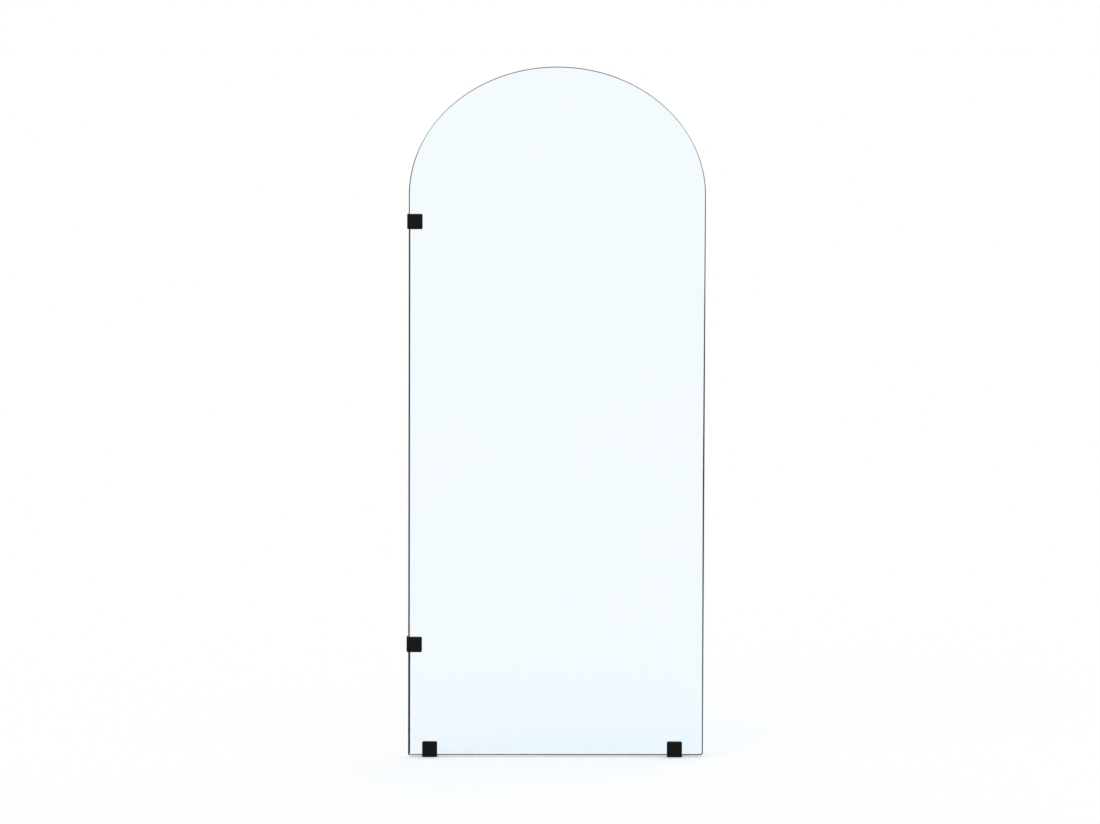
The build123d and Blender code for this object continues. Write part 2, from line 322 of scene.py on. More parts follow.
def rounded(corners, radii, steps):
    """A path through these corners, all but its two ends rounded off, with the normals on its right.

    A point of an arc is its centre plus r n where the path bends left, or minus r n where it bends right,
    and n is the normal (sin a, -cos a) of the path, whose angle a turns evenly through the bend.
    """
    corners = np.array(corners, dtype=float)
    along = np.diff(corners, axis=0)
    angles = np.arctan2(along[:, 1], along[:, 0])
    bends = (np.diff(angles) + pi) % (2 * pi) - pi
    a = angles[:-1, None] + bends[:, None] * np.linspace(0.0, 1.0, steps + 1)
    normals = np.stack([np.sin(a), -np.cos(a)], axis=-1)
    radii = np.array(radii)
    trims = (radii * np.tan(abs(bends) / 2))[:, None]
    starts = corners[1:-1] - trims * np.stack([np.cos(angles[:-1]), np.sin(angles[:-1])], axis=-1)
    signed = (np.sign(bends) * radii)[:, None, None]
    arcs = starts[:, None] + signed * (normals - normals[:, :1])
    points = np.concatenate([corners[:1], arcs.reshape(-1, 2), corners[-1:]])
    return points, np.concatenate([normals[0, :1], normals.reshape(-1, 2), normals[-1, -1:]])


def closed_loop(corners, radii, steps):
    """The same for a path that closes on itself. It runs anticlockwise, with its normals outwards."""
    points, normals = rounded([corners[-1], *corners, corners[0]], radii, steps)
    return points[1:-1], normals[1:-1]


def rectangle(low, high):
    """The corners of a rectangle, anticlockwise from the lower right."""
    return [(high[0], low[1]), (high[0], high[1]), (low[0], high[1]), (low[0], low[1])]


def circle(centre, radius, steps):
    """A circle, anticlockwise, with its normals outwards. With radius 0, an axis to turn a section on."""
    _, outward = turn((0.0, 0.0), (1.0, 1.0), 0.0, 2 * pi, steps)
    return np.array(centre) + radius * outward, outward


def swept(loop, section):
    """A section carried round a closed loop, as a grid of points and one of normals.

    The point for loop step i and section row j is P_i + out_j N_i in the plane, at depth_j across it.
    """
    (points, outward), (rows, row_normals) = loop, section
    shape = (len(points), len(rows), 1)
    flat = points[:, None] + rows[None, :, :1] * outward[:, None]
    turned = row_normals[None, :, :1] * outward[:, None]
    places = np.concatenate([flat, np.broadcast_to(rows[None, :, 1:], shape)], axis=-1)
    return places, np.concatenate([turned, np.broadcast_to(row_normals[None, :, 1:], shape)], axis=-1)


def moulded(loop, corners, radii, s):
    """A path with rounded corners, carried round a loop."""
    return swept(loop, rounded(corners, radii, s.arc_steps))


def threaded(axis, radius, first, last, side, s):
    """A round thread from one depth to another, outside a bar for side -1 or inside a bore for side 1.

    Its radius is R + side d f (1 + side cos p) / 2, with p = 2 pi z / pitch - t. f fades the thread out over
    one pitch at both ends. The normal is e_r - (r_t / r) e_t - r_z e_z, turned inwards in a bore.
    """
    points, outward = axis
    pitch = s.thread_pitch
    rows = int(abs(last - first) / pitch * s.turn_steps)
    z = np.linspace(first, last, rows)
    t = np.arctan2(outward[:, 1], outward[:, 0])[:, None]
    phase = 2 * pi * z / pitch - t
    height = s.thread_depth * np.minimum(abs(z - first), abs(z - last)).clip(0.0, pitch) / pitch
    r = (radius + side * height * (1.0 + side * np.cos(phase)) / 2)[..., None]
    twist = (height * np.sin(phase) / 2)[..., None] / r
    around = np.stack([-outward[:, 1], outward[:, 0]], axis=-1)
    flat = outward[:, None] - twist * around[:, None]
    normals = -side * np.concatenate([flat, -np.gradient(r[..., 0], z, axis=1)[..., None]], axis=-1)
    normals /= np.linalg.norm(normals, axis=-1, keepdims=True)
    depths = np.broadcast_to(z[None, :, None], r.shape)
    return np.concatenate([points[:, None] + r * outward[:, None], depths], axis=-1), normals


def stacked(*grids):
    """Grids that share their loop, one after another along the section."""
    return [np.concatenate(column, axis=1) for column in zip(*grids)]


def grid_faces(around, along, first, closed):
    """Quads of a grid that closes on itself round the loop, and along the section too if closed is true."""
    i = np.arange(around)[:, None]
    j = np.arange(along if closed else along - 1)[None, :]
    here, there = i * along, ((i + 1) % around) * along
    after = (j + 1) % along
    quads = np.stack([here + j, here + after, there + after, there + j], axis=-1)
    return quads.reshape(-1, 4) + first


def filled(rings, places):
    """Triangles over the flat face that the first ring bounds and the other rings pierce.

    rings holds each ring's vertex numbers. The triangulation is the Delaunay one that keeps every ring's
    edges. A triangle with all its corners on one of the other rings lies inside it, and is left out.
    """
    numbers = np.concatenate(rings)
    sizes = [len(ring) for ring in rings]
    owner = np.repeat(np.arange(len(rings)), sizes)
    borders = [border.tolist() for border in np.split(np.arange(len(numbers)), np.cumsum(sizes)[:-1])]
    points = list(map(Vector, places[numbers][:, :2].tolist()))
    _, _, faces, sources, _, _ = delaunay_2d_cdt(points, [], borders, KEEP_INSIDE, BORDER_GAP)
    faces = np.array([source[0] for source in sources])[np.array(faces)]
    one_ring = (owner[faces] == owner[faces[:, :1]]).all(axis=1)
    return numbers[faces[~(one_ring & (owner[faces[:, 0]] > 0))]]


def wound(faces, places, normals):
    """The same faces, each wound so that it faces the way its corners' normals do.

    A face's own normal is the cross product of its diagonals, or of two sides of a triangle.
    """
    p = places[faces]
    facing = np.cross(p[:, 2] - p[:, 0], p[:, -1] - p[:, 1])
    wrong = (facing * normals[faces].sum(axis=1)).sum(axis=1) < 0
    return np.where(wrong[:, None], faces[:, ::-1], faces)


def make_piece(name, grids, fills, axes, origin=(0.0, 0.0, 0.0), closed=False, attributes=None):
    """One closed piece from grids and from the flat faces between them.

    A fill is a list of rings, each the number of a grid and the row that is its border. axes are the
    directions of the grids' own three coordinates in the model.
    """
    starts = np.cumsum([0] + [places.shape[0] * places.shape[1] for places, _ in grids])
    flat_places = np.concatenate([places.reshape(-1, 3) for places, _ in grids])
    flat_normals = np.concatenate([normals.reshape(-1, 3) for _, normals in grids])
    quads = [grid_faces(*places.shape[:2], start, closed) for (places, _), start in zip(grids, starts)]
    triangles = [np.empty((0, 3), dtype=int)]
    for fill in fills:
        rings = []
        for grid, row in fill:
            around, along = grids[grid][0].shape[:2]
            rings.append(starts[grid] + np.arange(around) * along + row % along)
        triangles.append(filled(rings, flat_places))
    places = flat_places @ np.array(axes) + np.array(origin)
    normals = flat_normals @ np.array(axes)
    quads = wound(np.concatenate(quads), places, normals)
    triangles = wound(np.concatenate(triangles), places, normals)
    return make_mesh(name, places, normals, quads, triangles, attributes or {})


def make_mesh(name, places, normals, quads, triangles, attributes):
    """One object from whole arrays, with its own normals and point attributes."""
    mesh = bpy.data.meshes.new(name)
    corner_numbers = np.concatenate([quads.ravel(), triangles.ravel()]).astype(np.int32)
    sizes = np.concatenate([np.full(len(quads), 4), np.full(len(triangles), 3)])
    starts = np.concatenate([[0], np.cumsum(sizes)[:-1]]).astype(np.int32)
    mesh.vertices.add(len(places))
    mesh.vertices.foreach_set("co", places.astype(np.float32).ravel())
    mesh.loops.add(len(corner_numbers))
    mesh.loops.foreach_set("vertex_index", corner_numbers)
    mesh.polygons.add(len(sizes))
    mesh.polygons.foreach_set("loop_start", starts)
    mesh.update(calc_edges=True)
    mesh.polygons.foreach_set("use_smooth", np.ones(len(sizes), dtype=bool))
    for label, values in attributes.items():
        layer = mesh.attributes.new(label, "FLOAT", "POINT")
        layer.data.foreach_set("value", values.astype(np.float32).ravel())
    mesh.normals_split_custom_set_from_vertices(normals.astype(np.float32))
    mesh.validate()
    return placed(name, mesh)


def panel_outline(s):
    """The outline seen from the front, anticlockwise from the top of the wall edge.

    Straight sides and bottom, two rounded corners, and half an ellipse over the top. The last column is the
    strength of the painted shade line, which changes behind the wall brackets and evenly along the other
    edges.
    """
    low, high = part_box("glass_panel")
    left, right, bottom, top = low[0], high[0], low[2], high[2]
    spring = top - s.arch_rise
    middle, half = (left + right) / 2, (right - left) / 2
    upper = centre_of("upper_wall_hole_bush")[2]
    lower = centre_of("lower_wall_hole_bush")[2]
    waist = (bottom + spring) / 2

    wall_trim, free_trim = corner_trim(s.wall_corner, s.band), corner_trim(s.free_corner, s.band)
    wall_turn, free_turn = left + s.wall_corner, right - s.free_corner

    def edge(start, end, normal, strengths, trims=(0.0, 0.0)):
        return (*straight(start, end, normal, s.band, s.side_steps, trims), ramp(*strengths, s.side_steps))

    wall, free, down = (-1.0, 0.0), (1.0, 0.0), (0.0, -1.0)
    wall_foot, free_foot = (left, bottom + s.wall_corner), (right, bottom + s.free_corner)
    wall_corner = corner((left, bottom), (1.0, 1.0), s.wall_corner, s.band, pi, s.corner_steps)
    free_corner = corner((right, bottom), (-1.0, 1.0), s.free_corner, s.band, 1.5 * pi, s.corner_steps)
    bottom_line = (s.bottom_wall_line, s.bottom_free_line)
    free_line = (s.free_low_line, s.free_middle_line)
    over, up = turn((middle, spring), (half, s.arch_rise), 0.0, pi, s.arch_steps)
    height = (over[:, 1] - spring) / s.arch_rise
    wall_side = np.interp(height, HAUNCH, (s.wall_spring_line, s.haunch_line, s.crown_line))
    free_side = np.interp(height, HAUNCH, (s.free_spring_line, s.haunch_line, s.crown_line))
    return joined(
        edge((left, spring), (left, upper), wall, (s.wall_spring_line, s.wall_top_line)),
        edge((left, upper), (left, lower), wall, (s.wall_middle_line, s.wall_middle_line)),
        edge((left, lower), wall_foot, wall, (s.wall_low_line, s.wall_low_line), (0.0, wall_trim)),
        (*wall_corner, ramp(s.wall_low_line, s.bottom_wall_line, s.corner_steps)),
        edge((wall_turn, bottom), (free_turn, bottom), down, bottom_line, (wall_trim, free_trim)),
        (*free_corner, ramp(s.bottom_free_line, s.free_low_line, s.corner_steps)),
        edge(free_foot, (right, waist), free, free_line, (free_trim, 0.0)),
        edge((right, waist), (right, spring), free, (s.free_middle_line, s.free_spring_line)),
        (over, up, over - s.band * up, np.where(over[:, 0] < middle, wall_side, free_side)),
    )


def ramp(first, last, steps):
    """Line strengths that change evenly from first towards last."""
    return np.linspace(first, last, steps, endpoint=False)


def centre_of(node):
    """The middle of a CAD node's box."""
    low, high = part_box(node)
    return [(a + b) / 2 for a, b in zip(low, high)]


def sheet_edge(half, bevel, softening, band, steps):
    """The section of the pane's edge from the front face to the rear face, with both bevels softened."""
    corners = [(-band, -half), (-bevel, -half), (0.0, bevel - half)]
    mirrored = [(out, -depth) for out, depth in reversed(corners)]
    return rounded(corners + mirrored, [softening] * 4, steps)


def glass_mesh(s):
    """The pane: its edge section carried round the outline and each hole, and the two faces between.

    Three point attributes go with it: the strength of the painted shade line, the distance in from the bevel,
    and the share cos 2a of the edge's ground flat, where a is how far the section's normal leans from it.
    """
    low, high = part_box("glass_panel")
    half = (high[1] - low[1]) / 2
    edge = sheet_edge(half, s.arris, s.softening, s.band, s.round_steps)
    mouth = sheet_edge(half, s.hole_arris, s.softening, s.hole_band, s.round_steps)
    points, outward, ends, line = panel_outline(s)
    loops = [(points, outward, ends, line, edge, s.arris)]
    for bracket in BRACKETS:
        bush_low, bush_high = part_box(f"{bracket}_hole_bush")
        centre = centre_of(f"{bracket}_hole_bush")
        radius = (bush_high[0] - bush_low[0]) / 2 + s.bush_clearance
        ring, radial = circle((centre[0], centre[2]), radius, s.hole_steps)
        ends = ring + s.hole_band * radial
        # each hole's ring carries the painted shade line at strength 1
        loops.append((ring, -radial, ends, np.ones(s.hole_steps), mouth, s.hole_arris))

    grids, lines, insets, flats = [], [], [], []
    for points, outward, ends, line, section, bevel in loops:
        places, normals = swept((points, outward), section)
        places[:, [0, -1], :2] = ends[:, None]
        rows, row_normals = section
        grids.append((places, normals))
        lines.append(np.repeat(line, len(rows)))
        insets.append(np.tile(np.maximum(-rows[:, 0] - bevel, 0.0), len(points)))
        flats.append(np.tile(np.clip(2.0 * row_normals[:, 0] ** 2 - 1.0, 0.0, 1.0), len(points)))
    fills = [[(grid, row) for grid in range(len(grids))] for row in (0, -1)]
    attributes = {"line": lines, "inset": insets, "edge_flat": flats}
    attributes = {name: np.concatenate(values) for name, values in attributes.items()}
    return make_piece("clear_glass_panel", grids, fills, SWAPPED, attributes=attributes)


def origin_of(bracket):
    """The middle of a bracket's foot, on the wall or floor face."""
    return np.array(centre_of(f"{bracket}_bracket_body")) * abs(np.array(BRACKETS[bracket][0]))


def local_box(bracket, kind):
    """The box of a CAD node along the bracket's own axes."""
    corners = np.array(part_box(f"{bracket}_{kind}")) - origin_of(bracket)
    turned = corners @ np.array(BRACKETS[bracket], dtype=float).T
    return turned.min(axis=0), turned.max(axis=0)


def screw_line(bracket):
    """Where the clamp screw's axis crosses the plane of the glass."""
    low, high = local_box(bracket, "hole_bush")
    return (low[:2] + high[:2]) / 2


def clamp_piece(bracket, kind, prefix, grids, fills, axes=None, closed=False):
    """One piece of a bracket, made in the bracket's own axes."""
    turned = BRACKETS[bracket] if axes is None else np.array(axes) @ np.array(BRACKETS[bracket])
    return make_piece(f"{bracket}_{prefix}_{kind}", grids, fills, turned, origin_of(bracket), closed)


def front_jaw_mesh(bracket, s):
    """The bevelled plate, and the boss with its tapped bore."""
    low, high = local_box(bracket, "front_jaw")
    back = local_box(bracket, "front_gasket")[0][2]
    plate = closed_loop(rectangle(low[:2], high[:2]), [s.corner] * 4, s.corner_steps)
    soft, bevel, front, end = s.softening, s.jaw_bevel, low[2], high[2]
    beside = 2 * soft  # flat strip beside a softened edge
    edge = [(-bevel - soft, front), (-bevel, front), (0.0, front + bevel), (0.0, back), (-beside, back)]
    axis = circle(screw_line(bracket), 0.0, s.circle_steps)
    floor, mouth = front + s.bore_end, end - s.boss_bevel
    outside = [
        (s.boss_radius + beside, back),
        (s.boss_radius, back),
        (s.boss_radius, mouth),
        (s.boss_radius - s.boss_bevel, end),
        (s.bore_radius + s.boss_bevel, end),
        (s.bore_radius, mouth),
        (s.bore_radius, mouth - soft),
    ]
    inside = [(s.bore_radius, floor + soft), (s.bore_radius, floor), (s.bore_radius - soft, floor)]
    boss = stacked(
        moulded(axis, outside, [soft] + [soft / 2] * 4, s),
        threaded(axis, s.bore_radius, mouth - beside, floor + s.boss_bevel, IN_BORE, s),
        moulded(axis, inside, [soft / 2], s),
    )
    grids = [moulded(plate, edge, [soft] * 3, s), boss]
    return clamp_piece(bracket, "front_jaw", "cast", grids, [[(0, 0)], [(0, -1), (1, 0)], [(1, -1)]])


def rim(loop, inside, first, last, s):
    """The rim of a rubber sheet, from its face at one depth to that at another, both edges rounded."""
    corners = [(inside, first), (0.0, first), (0.0, last), (inside, last)]
    return moulded(loop, corners, [s.rubber_round] * 2, s)


def gasket_mesh(bracket, kind, s):
    """A sheet with rounded rims, square at the glass edge and holed for the bush."""
    low, high = local_box(bracket, kind)
    radii = [s.gasket_heel, s.gasket_corner, s.gasket_corner, s.gasket_heel]
    outline = closed_loop(rectangle(low[:2], high[:2]), radii, s.corner_steps)
    hole = circle(screw_line(bracket), s.gasket_hole, s.circle_steps)
    inside = (s.rubber_round + s.gasket_heel) / 2
    grids = [rim(outline, -inside, low[2], high[2], s), rim(hole, inside, high[2], low[2], s)]
    return clamp_piece(bracket, kind, "rubber", grids, [[(0, 0), (1, -1)], [(0, -1), (1, 0)]])


def edge_pad_mesh(bracket, s):
    """A strip with rounded rims between the flange and the edge of the glass."""
    low, high = local_box(bracket, "edge_pad")
    outline = closed_loop(rectangle(low[[0, 2]], high[[0, 2]]), [s.pad_corner] * 4, s.corner_steps)
    inside = (s.rubber_round + s.pad_corner) / 2
    grids = [rim(outline, -inside, low[1], high[1], s)]
    return clamp_piece(bracket, "edge_pad", "rubber", grids, [[(0, 0)], [(0, -1)]], SWAPPED)


def bush_mesh(bracket, s):
    """A sleeve: a rounded rectangle turned about the screw's axis."""
    low, high = local_box(bracket, "hole_bush")
    corners = rectangle((s.bush_bore, low[2]), ((high[0] - low[0]) / 2, high[2]))
    axis = circle(screw_line(bracket), 0.0, s.circle_steps)
    grids = [swept(axis, closed_loop(corners, [s.bush_round] * 4, s.arc_steps))]
    return clamp_piece(bracket, "hole_bush", "nylon", grids, [], closed=True)


def screw_mesh(bracket, s):
    """A countersunk screw: tip, thread, cone and rim turned on one axis, and a hexagon socket."""
    low, high = local_box(bracket, "clamp_screw")
    tip, top, head = low[2], high[2], (high[0] - low[0]) / 2
    shank, bevel, soft = s.shank_radius, s.screw_tip_bevel, s.head_round
    thread_start, cone_top, top_ring = tip + bevel + 2 * soft, top - s.screw_rim, head - 4 * soft
    centre = screw_line(bracket)
    axis = circle(centre, 0.0, s.circle_steps)
    point = [(shank / 2, tip), (shank - bevel, tip), (shank, tip + bevel), (shank, tip + bevel + soft)]
    cone_start = cone_top - (head - shank)
    cone = [(shank, s.thread_end + soft), (shank, cone_start), (head, cone_top), (head, top), (top_ring, top)]
    outside = stacked(
        moulded(axis, point, [soft, soft], s),
        threaded(axis, shank, thread_start, s.thread_end, ON_BAR, s),
        moulded(axis, cone, [2 * soft, soft, soft], s),
    )
    angles = np.arange(6) * pi / 3
    tips = centre + 2 / sqrt(3) * s.socket_half * np.stack([np.cos(angles), np.sin(angles)], axis=1)
    hexagon = closed_loop(tips.tolist(), [s.socket_corner] * 6, s.arc_steps)
    mouth, floor, floor_ring = s.socket_mouth, top - s.socket_depth, s.socket_corner * 3 / 4
    well = [(2 * mouth, top), (mouth, top), (0.0, top - mouth), (0.0, floor), (-floor_ring, floor)]
    socket = moulded(hexagon, well, [soft / 2, soft / 2, soft], s)
    fills = [[(0, 0)], [(0, -1), (1, 0)], [(1, -1)]]
    return clamp_piece(bracket, "clamp_screw", "steel", [outside, socket], fills)


def bracket_body_mesh(bracket, s):
    """A copy of the CAD casting, its triangles joined to flat faces and its sharp edges softened.

    The short edges where the ends of the heel meet the jaw stay as they are.
    """
    axes, origin = Matrix(BRACKETS[bracket]), Vector(origin_of(bracket))

    def at_heel(corner):
        place = axes @ (corner.co - origin)
        place[0] = abs(place[0])
        return all(low < value < high for low, value, high in zip(HEEL_LOW, place, HEEL_HIGH))

    shape = bmesh.new()
    shape.from_mesh(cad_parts[f"{bracket}_bracket_body"].data)
    bmesh.ops.remove_doubles(shape, verts=shape.verts, dist=SAME_POINT)
    bmesh.ops.dissolve_limit(shape, angle_limit=SAME_PLANE, verts=shape.verts, edges=shape.edges)
    sharp = [edge for edge in shape.edges if edge.calc_face_angle(0.0) > SHARP]
    sharp = [edge for edge in sharp if not any(map(at_heel, edge.verts))]
    bmesh.ops.bevel(
        shape, geom=sharp, offset=s.body_softening, segments=s.arc_steps, profile=0.5, affect="EDGES"
    )
    mesh = bpy.data.meshes.new(f"{bracket}_cast_bracket_body")
    shape.to_mesh(mesh)
    shape.free()
    shade_by_area(mesh)
    return placed(mesh.name, mesh)


def read(parts, name, kind, width=1):
    """One property of all the given parts of a mesh, as an array."""
    values = np.empty(len(parts) * width, dtype=kind)
    parts.foreach_get(name, values)
    return values.reshape(-1, width) if width > 1 else values


def shade_by_area(mesh):
    """Smooth normals in which large faces count for more, so that flat faces stay flat beside soft edges.

    A corner's normal is that of its point, the sum of area times normal over the faces there. Where that
    leans too far from the face, the corner keeps the face's own normal.
    """
    corner_points = read(mesh.loops, "vertex_index", np.int32)
    sizes = read(mesh.polygons, "loop_total", np.int32)
    own = np.repeat(read(mesh.polygons, "normal", np.float32, 3), sizes, axis=0)
    areas = np.repeat(read(mesh.polygons, "area", np.float32), sizes)
    summed = np.zeros((len(mesh.vertices), 3))
    np.add.at(summed, corner_points, own * areas[:, None])
    summed /= np.linalg.norm(summed, axis=1, keepdims=True)
    shared_normals = summed[corner_points]
    leans = (shared_normals * own).sum(axis=1) < MOST_LEAN
    mesh.polygons.foreach_set("use_smooth", np.ones(len(mesh.polygons), dtype=bool))
    mesh.normals_split_custom_set(np.where(leans[:, None], own, shared_normals).tolist())


# Materials


def feed(tree, node, inputs):
    """Sets inputs of a node, by name or number, each to a value or to the socket that feeds it."""
    for name, value in inputs.items():
        if isinstance(value, bpy.types.NodeSocket):
            tree.links.new(value, node.inputs[name])
        else:
            node.inputs[name].default_value = value


def add(tree, kind, inputs=None, **settings):
    """One node, with its settings and inputs."""
    node = tree.nodes.new(kind)
    for name, value in settings.items():
        setattr(node, name, value)
    feed(tree, node, inputs or {})
    return node


def maths(tree, operation, *values, clamp=False):
    """The result of one sum."""
    node = add(tree, "ShaderNodeMath", dict(enumerate(values)), operation=operation, use_clamp=clamp)
    return node.outputs[0]


def varied(tree, middle, mask, by, clamp=False):
    """The middle value plus by times the mask."""
    return maths(tree, "MULTIPLY_ADD", mask, by, middle, clamp=clamp)


def blend(tree, factor, first, second):
    """A colour between first and second."""
    inputs = {MIX_FACTOR: factor, MIX_FIRST: rgba(first), MIX_SECOND: rgba(second)}
    return add(tree, "ShaderNodeMix", inputs, data_type="RGBA").outputs[MIX_RESULT]


def rgba(value):
    """A colour with its alpha, or the socket that was given."""
    return value if isinstance(value, bpy.types.NodeSocket) else (*value, 1.0)


def noise(tree, place, size, detail):
    """Noise from 0 to 1, in grains of about the given size in metres."""
    inputs = {"Vector": place, "Scale": maths(tree, "DIVIDE", 1.0, size), "Detail": detail}
    return add(tree, "ShaderNodeTexNoise", inputs).outputs["Fac"]


def spread(tree, value, low, high):
    """How far a value is from low to high, from 0 to 1."""
    inputs = {"Value": value, "From Min": low, "From Max": high}
    return add(tree, "ShaderNodeMapRange", inputs).outputs[0]


def object_place(tree):
    """Coordinates in metres on the piece."""
    return add(tree, "ShaderNodeTexCoord").outputs["Object"]


def attribute(tree, name):
    """A point attribute of the mesh."""
    return add(tree, "ShaderNodeAttribute", attribute_name=name, attribute_type="GEOMETRY").outputs["Fac"]


def bump(tree, height, depth):
    """A normal from a height of about 1, scaled to a depth in metres."""
    return add(tree, "ShaderNodeBump", {"Height": height, "Strength": 1.0, "Distance": depth}).outputs[0]


def new_group(name, inputs, outputs):
    """An empty shader group: its tree, the sockets it is given and its output node.

    inputs maps each input's name to its default, and those without one are vectors. Outputs are numbers.
    """
    tree = bpy.data.node_groups.new(name, "ShaderNodeTree")
    for label, default in inputs.items():
        kind = "NodeSocketVector" if default is None else "NodeSocketFloat"
        socket = tree.interface.new_socket(label, in_out="INPUT", socket_type=kind)
        if default is not None:
            socket.default_value = default
    for label in outputs:
        tree.interface.new_socket(label, in_out="OUTPUT", socket_type="NodeSocketFloat")
    return tree, tree.nodes.new("NodeGroupInput").outputs, tree.nodes.new("NodeGroupOutput")


def grain_group():
    """Fine grain over soft clouds: a height from -0.5 to 0.5, and a cloud mask from 0 to 1."""
    inputs = {"Vector": None, "Grain size": 0.001, "Cloud size": 0.02}
    tree, given, result = new_group("Surface grain", inputs, ["Height", "Cloud"])
    fine = noise(tree, given["Vector"], given["Grain size"], detail=2.0)
    broad = noise(tree, given["Vector"], given["Cloud size"], detail=3.0)
    height = maths(tree, "SUBTRACT", fine, 0.5)
    feed(tree, result, {"Height": height, "Cloud": spread(tree, broad, *CLOUD_LIMITS)})
    return tree


def wear_group():
    """A mask that is 1 on faces that lean half way between two axes, broken up by noise.

    The lean is 2 (1 - x^4 - y^4 - z^4) for the normal (x, y, z), held between 0 and 1.
    """
    inputs = {"Vector": None, "Normal": None, "Patch size": 0.004}
    tree, given, result = new_group("Bevel wear", inputs, ["Wear"])
    normal = given["Normal"]
    squared = add(tree, "ShaderNodeVectorMath", {0: normal, 1: normal}, operation="MULTIPLY").outputs[0]
    fourth = add(tree, "ShaderNodeVectorMath", {0: squared, 1: squared}, operation="DOT_PRODUCT")
    flat = maths(tree, "SUBTRACT", 1.0, fourth.outputs["Value"])
    lean = maths(tree, "MULTIPLY", flat, 2.0, clamp=True)
    patches = spread(tree, noise(tree, given["Vector"], given["Patch size"], detail=4.0), *PATCH_LIMITS)
    feed(tree, result, {"Wear": maths(tree, "MULTIPLY", lean, patches)})
    return tree


def grain(tree, grain_size, cloud_size):
    """The outputs of the shared surface grain, which is built once."""
    group = bpy.data.node_groups.get("Surface grain") or grain_group()
    sizes = {"Vector": object_place(tree), "Grain size": grain_size, "Cloud size": cloud_size}
    return add(tree, "ShaderNodeGroup", sizes, node_tree=group).outputs


def wear(tree, patch_size):
    """The mask of the shared bevel wear, which is built once."""
    group = bpy.data.node_groups.get("Bevel wear") or wear_group()
    facing = add(tree, "ShaderNodeNewGeometry").outputs["Normal"]
    inputs = {"Vector": object_place(tree), "Normal": facing, "Patch size": patch_size}
    return add(tree, "ShaderNodeGroup", inputs, node_tree=group).outputs["Wear"]


def new_material(name):
    """A material with its tree, its shader and its output."""
    material = bpy.data.materials.new(name)
    material.use_nodes = True
    tree = material.node_tree
    tree.nodes.clear()
    shader = tree.nodes.new("ShaderNodeBsdfPrincipled")
    output = tree.nodes.new("ShaderNodeOutputMaterial")
    tree.links.new(shader.outputs[0], output.inputs["Surface"])
    return material, tree, shader, output


def glass_material(s):
    """Clear glass: a cool clouded tint, a painted shade line along the arris, green ground edges and faint
    roller waves.

    Where the strength of the painted shade line less the distance from the bevel is x, the line shows by 1 -
    (1 - x)^2;
    it paints the edge darker low on the wall side and warmer near the floor. Rays from lamps and from matt
    surfaces go straight through, so that the pane hardly shades the floor.
    """
    material, tree, shader, output = new_material("clear_glass")
    place = object_place(tree)
    clouds = grain(tree, s.uneven_length, s.clouds)
    tint = blend(tree, clouds["Cloud"], s.tint, s.deep_tint)
    uneven = varied(tree, 1.0, clouds["Height"], by=s.unevenness)
    # painted shade: the dark line along the arris and the band beside it stands in for the shade the edge
    # shows
    painted_shade_strength = maths(tree, "MULTIPLY", attribute(tree, "line"), uneven)
    faded = maths(tree, "DIVIDE", attribute(tree, "inset"), s.line_fade)
    clear = maths(tree, "SUBTRACT", 1.0, maths(tree, "SUBTRACT", painted_shade_strength, faded, clamp=True))
    line = maths(tree, "SUBTRACT", 1.0, maths(tree, "MULTIPLY", clear, clear))
    # painted shade: the line's colour turns warmer towards the floor
    height = add(tree, "ShaderNodeSeparateXYZ", {0: place}).outputs["Z"]
    low = spread(tree, height, s.warm_top, s.warm_low)
    # painted shade: the tint turns to the line's colour along the arris
    painted_shade_tint = blend(tree, line, tint, blend(tree, low, s.painted_shade_line_colour, s.painted_shade_warm_colour))
    base = blend(tree, attribute(tree, "edge_flat"), painted_shade_tint, s.edge_colour)
    rolled = {"Vector": place, "Scale": WAVE_REPEAT / s.wave_length, "Distortion": 1.5, "Detail": 1.0}
    waves = add(tree, "ShaderNodeTexWave", rolled, bands_direction="Z").outputs["Fac"]
    looks = {
        "Base Color": base,
        "Roughness": 0.0,
        "IOR": s.refraction,
        "Transmission Weight": 1.0,
        "Normal": bump(tree, waves, s.wave_height),
    }
    feed(tree, shader, looks)
    through = add(tree, "ShaderNodeBsdfTransparent", {"Color": base}).outputs[0]
    path = add(tree, "ShaderNodeLightPath")
    shown = shader.outputs[0]
    for ray in ("Is Shadow Ray", "Is Diffuse Ray"):
        shown = add(tree, "ShaderNodeMixShader", {0: path.outputs[ray], 1: shown, 2: through}).outputs[0]
    tree.links.new(shown, output.inputs["Surface"])
    return material


def coat_material(s):
    """Black powder coat: orange-peel grain, cloudy gloss, and a slightly thinner coat along the bevels."""
    material, tree, shader, _ = new_material("black_powder_coat")
    skin = grain(tree, s.peel_size, cloud_size=0.012)
    speckled = varied(tree, wear(tree, patch_size=0.003), skin["Height"], by=s.coat_speckle, clamp=True)
    cloudy = varied(tree, s.coat_roughness, skin["Cloud"], by=0.10)
    looks = {
        "Base Color": blend(tree, speckled, s.coat, s.coat_worn),
        "Roughness": varied(tree, cloudy, skin["Height"], by=0.12),
        "Specular IOR Level": 0.08,
        "Normal": bump(tree, skin["Height"], s.peel_depth),
    }
    feed(tree, shader, looks)
    return material


def screw_material(s):
    """Blackened steel with fine turning marks and bare metal on worn corners."""
    material, tree, shader, _ = new_material("blackened_steel")
    skin = grain(tree, s.tool_marks, cloud_size=0.004)
    bare = maths(tree, "MULTIPLY", wear(tree, patch_size=0.0012), s.screw_wear)
    looks = {
        "Base Color": blend(tree, bare, s.screw, s.screw_bare),
        "Metallic": 1.0,
        "Roughness": varied(tree, s.screw_roughness, skin["Cloud"], by=0.15),
        "Normal": bump(tree, skin["Height"], s.mark_depth),
    }
    feed(tree, shader, looks)
    return material


